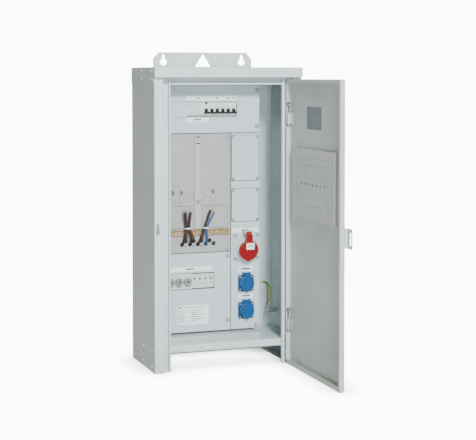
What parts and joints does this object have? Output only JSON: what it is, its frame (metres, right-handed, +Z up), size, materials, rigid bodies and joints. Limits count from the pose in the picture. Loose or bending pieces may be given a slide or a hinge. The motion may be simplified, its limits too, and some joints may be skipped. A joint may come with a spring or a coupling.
{
  "type": "site power distribution box",
  "caption": "Floor or wall standing sheet steel power distribution cabinet with an open hinged door, meter board, device row, fuses and lidded sockets.",
  "frame": {"origin": "middle of the bottom edge of the rear wall's outer face, at floor level", "axes": "+Z up; +Y out of the back, so the door side looks along -Y; +X to the right seen from the door side"},
  "size_m": [0.4706, 0.6752, 0.955],
  "materials": {
    "case_coating": "smooth powder coat, satin",
    "door_coating": "smooth powder coat, satin",
    "cover_coating": "smooth powder coat, satin",
    "rivet_steel": "zinc plated, dull",
    "yellow_passivated_steel": "zinc plated with a yellow passivation",
    "board_plastic": "moulded, fine matt grain",
    "device_plastic": "moulded, satin",
    "black_plastic": "moulded, satin",
    "blue_button_plastic": "moulded, glossy",
    "fuse_cap_porcelain": "glazed, glossy",
    "red_plastic": "moulded, semi-gloss",
    "grey_plastic": "moulded, satin",
    "blue_plastic": "moulded, semi-gloss",
    "black_sheath": "extruded insulation, satin",
    "brown_sheath": "extruded insulation, satin",
    "blue_sheath": "extruded insulation, satin",
    "earth_sheath": "extruded insulation, green with a yellow stripe",
    "bare_copper": "stripped bright copper",
    "white_nylon": "moulded nylon",
    "pocket_plastic": "moulded sheet, satin"
  },
  "bodies": {
    "cabinet": {"side_wall_left": "case_coating", "side_wall_right": "case_coating", "rear_wall": "case_coating", "roof": "case_coating", "lintel": "case_coating", "floor_tray": "case_coating", "foot_angles": "case_coating", "panel_uprights": "case_coating", "top_cover": "cover_coating", "lower_cover": "cover_coating", "socket_column": "cover_coating", "blank_covers": "cover_coating", "case_rivets": "rivet_steel", "panel_screws": "rivet_steel", "staple": "rivet_steel", "hinge_brackets": "rivet_steel", "hinge_pins": "rivet_steel", "device_rails": "rivet_steel", "lid_pins": "rivet_steel", "earth_terminal": "rivet_steel", "terminal_rail": "yellow_passivated_steel", "meter_board": "board_plastic", "meter_rail": "board_plastic", "residual_current_device": "device_plastic", "three_pole_breaker": "device_plastic", "single_breakers": "device_plastic", "blanking_strip": "device_plastic", "fuse_base": "device_plastic", "surge_arrester": "device_plastic", "three_phase_socket": "red_plastic", "three_phase_insert": "grey_plastic", "domestic_sockets": "blue_plastic", "meter_tails_black": "black_sheath", "meter_tails_brown": "brown_sheath", "meter_tails_blue": "blue_sheath", "earth_lead": "earth_sheath", "tail_ends": "bare_copper", "cable_ties": "white_nylon"},
    "door": {"door_pan": "door_coating", "hinge_barrels": "rivet_steel", "hasp": "door_coating", "document_pocket": "pocket_plastic"},
    "residual_current_toggle": {"residual_current_toggle": "black_plastic"},
    "test_button": {"test_button": "blue_button_plastic"},
    "three_pole_toggle": {"three_pole_toggle": "black_plastic"},
    "single_toggle_left": {"single_toggle_left": "black_plastic"},
    "single_toggle_right": {"single_toggle_right": "black_plastic"},
    "fuse_cap_left": {"fuse_cap_left": "fuse_cap_porcelain"},
    "fuse_cap_middle": {"fuse_cap_middle": "fuse_cap_porcelain"},
    "fuse_cap_right": {"fuse_cap_right": "fuse_cap_porcelain"},
    "three_phase_lid": {"three_phase_lid": "red_plastic"},
    "domestic_lid_upper": {"domestic_lid_upper": "blue_plastic"},
    "domestic_lid_lower": {"domestic_lid_lower": "blue_plastic"},
    "clip_top_upper": {"clip_top_upper": "grey_plastic"},
    "clip_top_lower": {"clip_top_lower": "grey_plastic"},
    "clip_board_upper": {"clip_board_upper": "grey_plastic"},
    "clip_board_lower": {"clip_board_lower": "grey_plastic"},
    "clip_lower_upper": {"clip_lower_upper": "grey_plastic"},
    "clip_lower_bottom": {"clip_lower_bottom": "grey_plastic"},
    "clip_column_bottom": {"clip_column_bottom": "grey_plastic"}
  },
  "joints": [
    {"name": "door_hinge", "type": "hinge", "parent": "cabinet", "child": "door", "pos_m": [0.19525, -0.2441, 0.434], "axis": [0, 0, 1], "range_deg": [-89.6, 20]},
    {"name": "residual_current_switch", "type": "hinge", "parent": "cabinet", "child": "residual_current_toggle", "pos_m": [-0.04305, -0.1612, 0.776], "axis": [1, 0, 0], "range_deg": [-70, 0]},
    {"name": "three_pole_switch", "type": "hinge", "parent": "cabinet", "child": "three_pole_toggle", "pos_m": [-0.00765, -0.1612, 0.776], "axis": [1, 0, 0], "range_deg": [-70, 0]},
    {"name": "single_switch_left", "type": "hinge", "parent": "cabinet", "child": "single_toggle_left", "pos_m": [0.02775, -0.1612, 0.776], "axis": [1, 0, 0], "range_deg": [-70, 0]},
    {"name": "single_switch_right", "type": "hinge", "parent": "cabinet", "child": "single_toggle_right", "pos_m": [0.04545, -0.1612, 0.776], "axis": [1, 0, 0], "range_deg": [-70, 0]},
    {"name": "test_button_press", "type": "slide", "parent": "cabinet", "child": "test_button", "axis": [0, 1, 0], "range_m": [0, 0.0012], "stiffness_N_per_m": 800},
    {"name": "fuse_cap_left_turn", "type": "hinge", "parent": "cabinet", "child": "fuse_cap_left", "pos_m": [-0.1578, -0.1727, 0.256], "axis": [0, -1, 0], "range_deg": [0, 180]},
    {"name": "fuse_cap_middle_turn", "type": "hinge", "parent": "cabinet", "child": "fuse_cap_middle", "pos_m": [-0.1308, -0.1727, 0.256], "axis": [0, -1, 0], "range_deg": [0, 180]},
    {"name": "fuse_cap_right_turn", "type": "hinge", "parent": "cabinet", "child": "fuse_cap_right", "pos_m": [-0.1038, -0.1727, 0.256], "axis": [0, -1, 0], "range_deg": [0, 180]},
    {"name": "three_phase_lid_hinge", "type": "hinge", "parent": "cabinet", "child": "three_phase_lid", "pos_m": [0.0855, -0.1887, 0.4005], "axis": [1, 0, 0], "range_deg": [-150, 0], "stiffness_Nm_per_rad": 0.02, "springref_deg": 28.65},
    {"name": "domestic_lid_upper_hinge", "type": "hinge", "parent": "cabinet", "child": "domestic_lid_upper", "pos_m": [0.0847, -0.1742, 0.2727], "axis": [1, 0, 0], "range_deg": [-110, 0], "stiffness_Nm_per_rad": 0.008, "springref_deg": 28.65},
    {"name": "domestic_lid_lower_hinge", "type": "hinge", "parent": "cabinet", "child": "domestic_lid_lower", "pos_m": [0.0847, -0.1742, 0.1889], "axis": [1, 0, 0], "range_deg": [-110, 0], "stiffness_Nm_per_rad": 0.008, "springref_deg": 28.65},
    {"name": "clip_top_upper_turn", "type": "hinge", "parent": "cabinet", "child": "clip_top_upper", "pos_m": [0.1215, -0.1677, 0.837], "axis": [0, -1, 0], "range_deg": [0, 90]},
    {"name": "clip_top_lower_turn", "type": "hinge", "parent": "cabinet", "child": "clip_top_lower", "pos_m": [0.1215, -0.1677, 0.727], "axis": [0, -1, 0], "range_deg": [0, 90]},
    {"name": "clip_board_upper_turn", "type": "hinge", "parent": "cabinet", "child": "clip_board_upper", "pos_m": [0.0255, -0.1677, 0.694], "axis": [0, -1, 0], "range_deg": [0, 90]},
    {"name": "clip_board_lower_turn", "type": "hinge", "parent": "cabinet", "child": "clip_board_lower", "pos_m": [0.0255, -0.1677, 0.3525], "axis": [0, -1, 0], "range_deg": [0, 90]},
    {"name": "clip_lower_upper_turn", "type": "hinge", "parent": "cabinet", "child": "clip_lower_upper", "pos_m": [0.025, -0.1677, 0.329], "axis": [0, -1, 0], "range_deg": [0, 90]},
    {"name": "clip_lower_bottom_turn", "type": "hinge", "parent": "cabinet", "child": "clip_lower_bottom", "pos_m": [0.025, -0.1677, 0.131], "axis": [0, -1, 0], "range_deg": [0, 90]},
    {"name": "clip_column_bottom_turn", "type": "hinge", "parent": "cabinet", "child": "clip_column_bottom", "pos_m": [0.1185, -0.1677, 0.1095], "axis": [0, -1, 0], "range_deg": [0, 90]}
  ]
}
